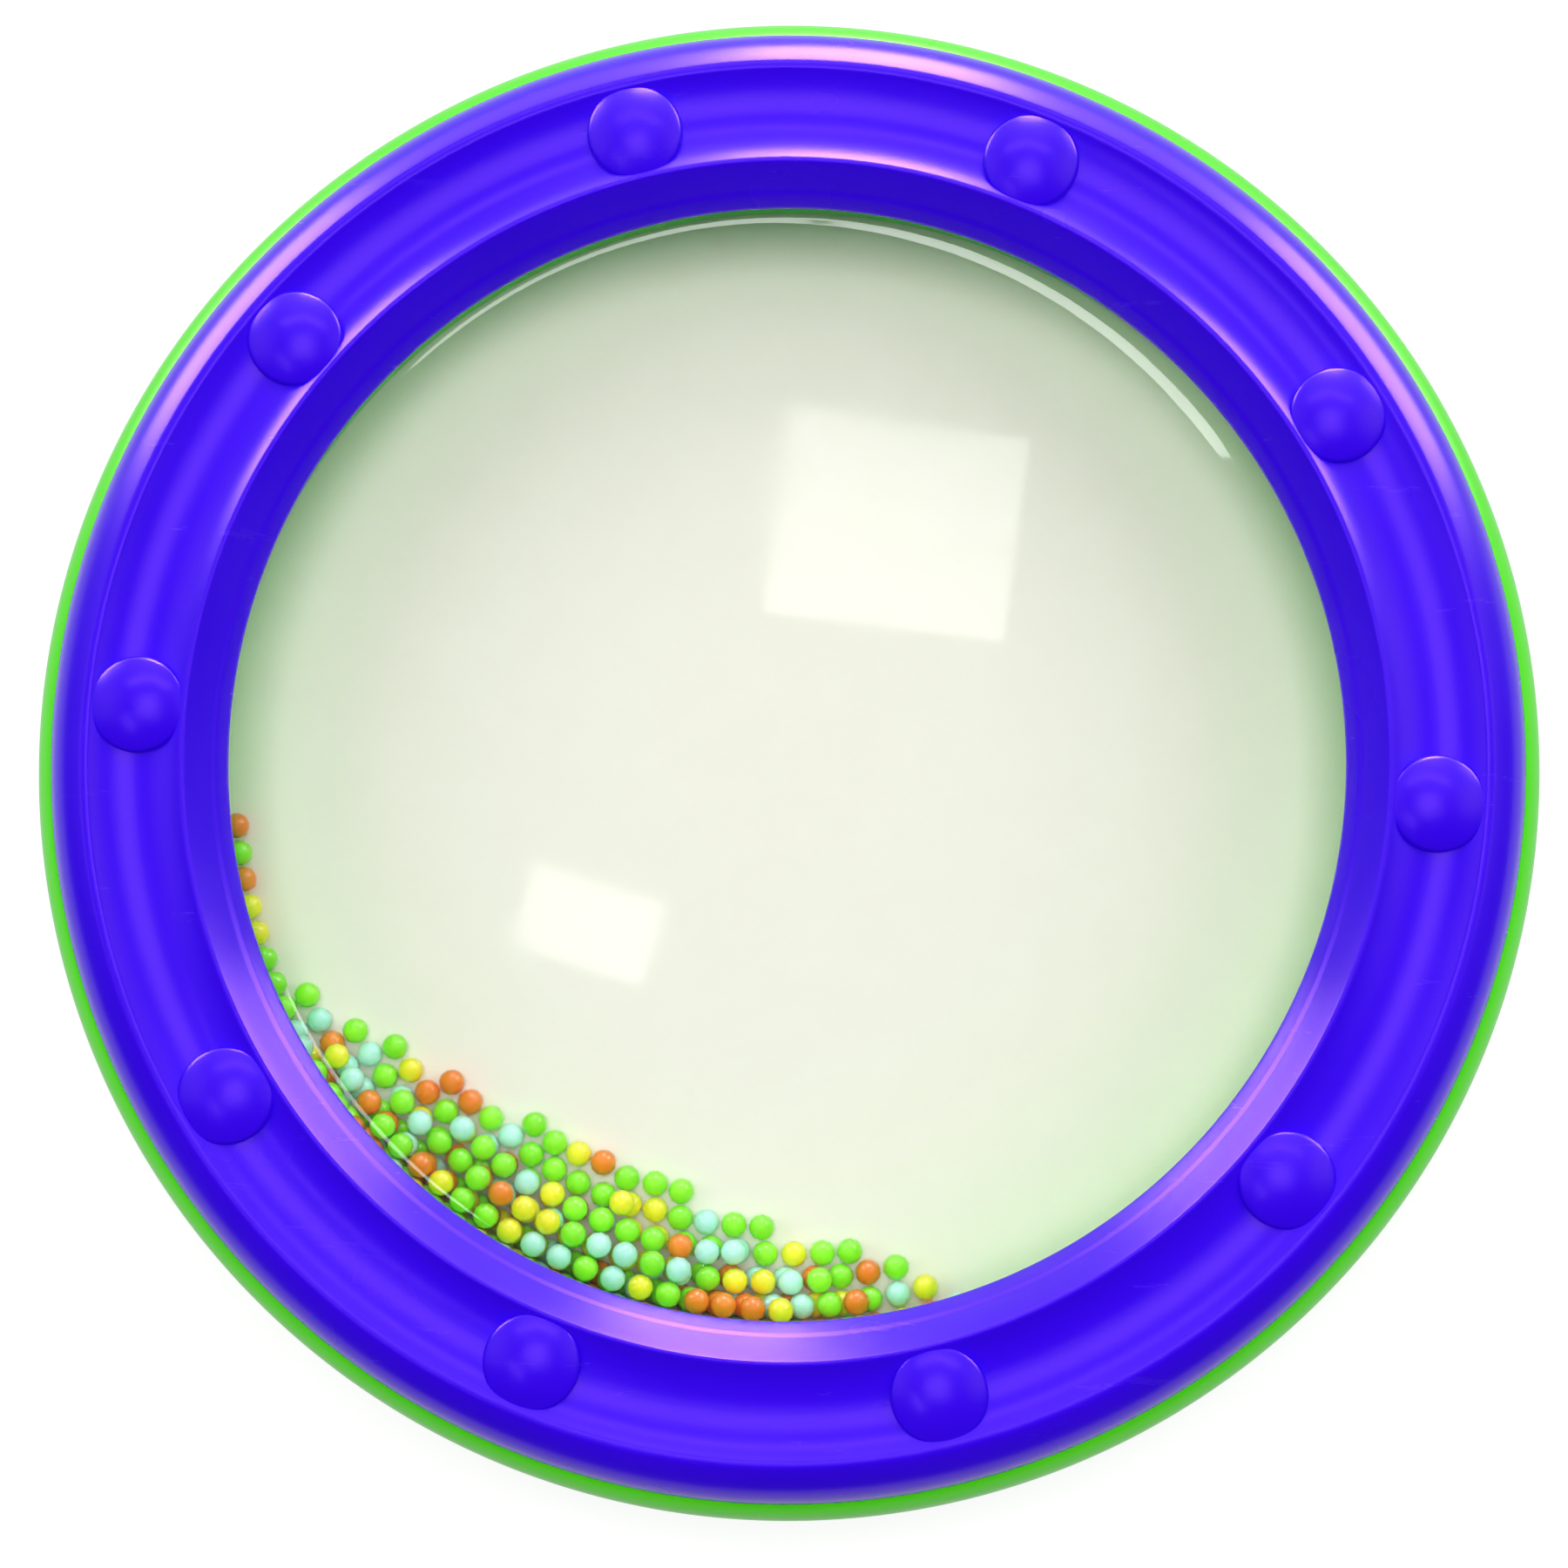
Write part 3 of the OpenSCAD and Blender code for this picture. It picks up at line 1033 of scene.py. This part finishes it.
@dataclass
class BeadPile:
    """The loose beads, each in the place of its CAD solid."""

    bead_r: float = 2.22
    seed: int = 7
    finishes: dict[Colour, bpy.types.Material] = field(default_factory=dict)

    @staticmethod
    def centres(node: bpy.types.Object) -> list[Vector]:
        """Finds the middle of each loose bead of a CAD node.

        Args:
            node: The node's object, whose mesh holds many closed spheres.

        Returns:
            The middles, in the order in which the mesh holds the beads.
        """
        bm = bmesh.new()
        bm.from_mesh(node.data)
        bmesh.ops.remove_doubles(bm, verts=bm.verts, dist=mm(0.01))
        found: list[Vector] = []
        for start in bm.verts:
            if start.tag:
                continue
            start.tag = True
            low, high, reached = start.co.copy(), start.co.copy(), [start]
            while reached:
                vert = reached.pop()
                for i in range(3):
                    low[i] = min(low[i], vert.co[i])
                    high[i] = max(high[i], vert.co[i])
                for edge in vert.link_edges:
                    other = edge.other_vert(vert)
                    if not other.tag:
                        other.tag = True
                        reached.append(other)
            found.append((low + high) / 2)
        bm.free()
        return found

    def build(
        self, node: bpy.types.Object, colour: Colour, layer: Layer
    ) -> bpy.types.Object:
        """Builds the beads of one colour in one layer.

        Args:
            node: The CAD node that they stand for.
            colour: Their colour.
            layer: Their layer.

        Returns:
            The new object.
        """
        chance = random.Random(f"{self.seed} {colour.value} {layer.value}")
        bm = bmesh.new()
        tone = bm.verts.layers.float.new(TONE_NAME)
        for centre in self.centres(node):
            turn = Euler([chance.uniform(0, math.tau) for _ in range(3)]).to_matrix()
            bead = bmesh.ops.create_icosphere(
                bm,
                subdivisions=2,
                radius=mm(self.bead_r),
                matrix=Matrix.Translation(centre) @ turn.to_4x4(),
            )
            value = chance.uniform(0.2, 1.0)
            for vert in bead["verts"]:
                vert[tone] = value
        return finish_piece(
            f"{colour.value}_beads_{layer.value}_layer",
            bm,
            self.finishes[colour],
            BEAD_LOAD,
            [f"{colour.value}_beads_{layer.value}"],
            crease=80.0,
        )


class Reach(Enum):
    """What a lamp lights: the matt share of a surface, or its gloss."""

    MATT = "matt"
    GLOSS = "gloss"


@dataclass(frozen=True)
class Lamp:
    """A soft box that faces the drum from a direction.

    Its azimuth runs clockwise from the top of the photograph, in degrees, its sizes are in metres,
    and its level is the share of full white that it lights a level surface to.
    """

    name: str
    azimuth: float
    elevation: float
    distance: float
    width: float
    height: float
    level: float
    reach: Reach

    def place(self) -> bpy.types.Object:
        """Adds the lamp, with the power that lights a level surface to its level."""
        turn, tilt = math.radians(self.azimuth), math.radians(self.elevation)
        way = Vector(
            (
                math.sin(turn) * math.cos(tilt),
                math.cos(turn) * math.cos(tilt),
                math.sin(tilt),
            )
        )
        light = bpy.data.lights.new(self.name, "AREA")
        light.shape = "RECTANGLE"
        light.size, light.size_y = self.width, self.height
        light.energy = self.level * math.pi**2 * self.distance**2 / math.sin(tilt)
        lamp = bpy.data.objects.new(self.name, light)
        lamp.location = way * self.distance
        lamp.rotation_euler = way.to_track_quat("Z", "Y").to_euler()
        lamp.visible_diffuse = self.reach is Reach.MATT
        lamp.visible_glossy = self.reach is Reach.GLOSS
        lamp.visible_transmission = self.reach is Reach.GLOSS
        bpy.context.scene.collection.objects.link(lamp)
        LOG.info("%s: %.1f W", self.name, light.energy)
        return lamp


@dataclass
class Studio:
    """The camera, the floor, the soft light and the pale surroundings.

    The camera's place is in millimetres. It looks straight down but for a tilt towards the
    photograph's top and a lean to its left, both in degrees.
    """

    camera_at: tuple[float, float, float] = (12.4, -55.2, 626.3)
    camera_tilt: float = 4.92
    camera_lean: float = 1.22
    lens: float = 82.44
    floor_r: float = 3.0
    paper: str = "#909090"
    floor_glow: float = 0.8
    lamps: tuple[Lamp, ...] = (
        Lamp("key_box", 2.0, 36.0, 1.5, 1.4, 0.6, 0.15, Reach.MATT),
        Lamp("left_box", -80.0, 40.0, 1.5, 0.8, 0.8, 0.15, Reach.MATT),
        Lamp("right_box", 80.0, 40.0, 1.5, 0.8, 0.8, 0.17, Reach.MATT),
        Lamp("overhead_box", 0.0, 88.0, 1.6, 0.7, 0.7, 0.55, Reach.MATT),
        Lamp("top_window", 5.0, 13.0, 1.5, 0.5, 0.6, 0.23, Reach.GLOSS),
        Lamp("left_window", -48.0, 13.0, 1.5, 0.6, 0.6, 0.18, Reach.GLOSS),
        Lamp("right_window", 50.0, 13.0, 1.5, 0.6, 0.6, 0.17, Reach.GLOSS),
        Lamp("far_wall", 0.0, 13.0, 1.7, 2.6, 0.66, 0.1, Reach.GLOSS),
        Lamp("strip_left", -20.0, 56.0, 1.5, 0.65, 0.16, 0.042, Reach.GLOSS),
        Lamp("strip_right", 24.0, 57.0, 1.5, 0.65, 0.16, 0.046, Reach.GLOSS),
        Lamp("strip_low", -125.0, 63.0, 1.5, 0.5, 0.13, 0.026, Reach.GLOSS),
        Lamp("wide_glint", 7.1, 79.6, 1.525, 0.145, 0.12, 0.0037, Reach.GLOSS),
        Lamp("small_glint", -73.6, 84.3, 1.507, 0.05, 0.078, 0.0009, Reach.GLOSS),
    )

    def camera(self) -> None:
        """Puts the camera where the photograph was taken."""
        data = bpy.data.cameras.new("camera")
        data.lens = self.lens
        data.sensor_fit = "HORIZONTAL"
        data.sensor_width = 36.0
        data.clip_start, data.clip_end = 0.01, 50.0
        camera = bpy.data.objects.new("camera", data)
        tilt = Matrix.Rotation(math.radians(self.camera_tilt), 4, "X")
        turn = tilt @ Matrix.Rotation(math.radians(self.camera_lean), 4, "Y")
        camera.matrix_world = (
            Matrix.Translation([mm(v) for v in self.camera_at]) @ turn
        )
        bpy.context.scene.collection.objects.link(camera)
        bpy.context.scene.camera = camera

    def floor(self) -> None:
        """Lays the pale floor, which shows white and keeps the drum's shadow."""
        bm = bmesh.new()
        bmesh.ops.create_circle(bm, cap_ends=True, segments=96, radius=self.floor_r)
        mesh = bpy.data.meshes.new("floor")
        bm.to_mesh(mesh)
        bm.free()
        floor = bpy.data.objects.new("floor", mesh)
        material, tree = new_material("white_paper_floor")
        paper = add_node(
            tree, "ShaderNodeBsdfDiffuse", values={"Color": linear(self.paper)}
        )
        glow = add_node(
            tree,
            "ShaderNodeEmission",
            values={"Color": WHITE, "Strength": self.floor_glow},
        )
        path = add_node(tree, "ShaderNodeLightPath").outputs
        rays = ("Is Camera Ray", "Is Glossy Ray", "Is Transmission Ray")
        seen = greatest(tree, [path[ray] for ray in rays])
        lit = add_node(
            tree,
            "ShaderNodeMixShader",
            links={0: seen, 2: glow.outputs["Emission"]},
        )
        both = add_node(
            tree,
            "ShaderNodeAddShader",
            links={0: paper.outputs["BSDF"], 1: lit.outputs["Shader"]},
        )
        add_node(
            tree,
            "ShaderNodeOutputMaterial",
            links={"Surface": both.outputs["Shader"]},
        )
        mesh.materials.append(material)
        bpy.context.scene.collection.objects.link(floor)

    def surroundings(self) -> None:
        """Sets the world: pale beyond the drum's top, dark behind, white to the camera itself."""
        world = bpy.data.worlds.new("studio")
        world.use_nodes = True
        tree = world.node_tree
        tree.nodes.clear()
        way = add_node(tree, "ShaderNodeTexCoord").outputs["Generated"]
        parts = add_node(tree, "ShaderNodeSeparateXYZ", links={0: way})
        level = add_node(
            tree,
            "ShaderNodeMapRange",
            {"interpolation_type": "SMOOTHSTEP"},
            {"From Min": -0.2, "From Max": 0.9, "To Min": 0.08, "To Max": 0.4},
            {"Value": parts.outputs["Y"]},
        )
        sky = add_node(
            tree,
            "ShaderNodeBackground",
            values={"Color": WHITE},
            links={"Strength": level.outputs["Result"]},
        )
        # What the camera sees straight past the floor's edge is white
        white = add_node(
            tree,
            "ShaderNodeBackground",
            values={"Color": WHITE, "Strength": 1.0},
        )
        path = add_node(tree, "ShaderNodeLightPath")
        both = add_node(
            tree,
            "ShaderNodeMixShader",
            links={
                0: path.outputs["Is Camera Ray"],
                1: sky.outputs["Background"],
                2: white.outputs["Background"],
            },
        )
        add_node(
            tree,
            "ShaderNodeOutputWorld",
            links={"Surface": both.outputs["Shader"]},
        )
        bpy.context.scene.world = world

    def build(self) -> None:
        """Builds the whole studio."""
        bpy.context.scene.view_settings.view_transform = "Standard"
        self.camera()
        self.floor()
        self.surroundings()
        for lamp in self.lamps:
            lamp.place()


def dress(
    nodes: dict[str, bpy.types.Object], names: Sequence[str], finish: bpy.types.Material
) -> None:
    """Gives CAD nodes that keep their shape a material.

    Args:
        nodes: The frame's nodes.
        names: Which of them are dressed.
        finish: The material.
    """
    for name in names:
        mesh = nodes[name].data
        mesh.materials.clear()
        mesh.materials.append(finish)
        LOG.info("%s: dressed in %s", name, finish.name)


def main() -> None:
    """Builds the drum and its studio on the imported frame."""
    logging.basicConfig(level=logging.INFO, format="%(message)s")
    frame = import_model()
    sizes = DrumSizes()
    violet = MouldedPlastic(
        "violet_abs", "#3501F1", "#2F01E7", "#5E3CF2", "#FFA2EC", roughness=0.25
    ).material()
    green = MouldedPlastic(
        "lime_abs", "#56EE0C", "#4EE40A", "#A8F470", "#D8FFB8", roughness=0.33
    ).material()
    FrontRim(sizes).build(violet)
    RearRim(sizes).build(green)
    Shell(sizes).build(green)
    Head(sizes).build_clear(ClearFilm().material())
    Head(sizes, press_slope=0.0).build_cream(CreamFilm().material())
    pile = BeadPile(
        finishes={
            Colour.GREEN: BeadPlastic("lime_bead", "#98FF26", "#80EA18").material(),
            Colour.YELLOW: BeadPlastic("yellow_bead", "#FFFA28", "#F6E81A").material(),
            Colour.ORANGE: BeadPlastic("orange_bead", "#FF921C", "#F27810").material(),
            Colour.MINT: BeadPlastic("mint_bead", "#C4FFF0", "#A8ECDC").material(),
        }
    )
    for colour in Colour:
        for layer in Layer:
            node = frame["nodes"][f"{colour.value}_beads_{layer.value}"]
            pile.build(node, colour, layer)
    hoop = MouldedPlastic(
        "natural_polypropylene", "#EFEFEA", "#E4E4DC", "#FFFFFF", roughness=0.4
    ).material()
    dress(frame["nodes"], ["front_head_hoop", "rear_head_hoop"], hoop)
    dress(frame["nodes"], ["tie_screws"], ZincSteel().material())
    Studio().build()


if __name__ == "__main__":
    main()
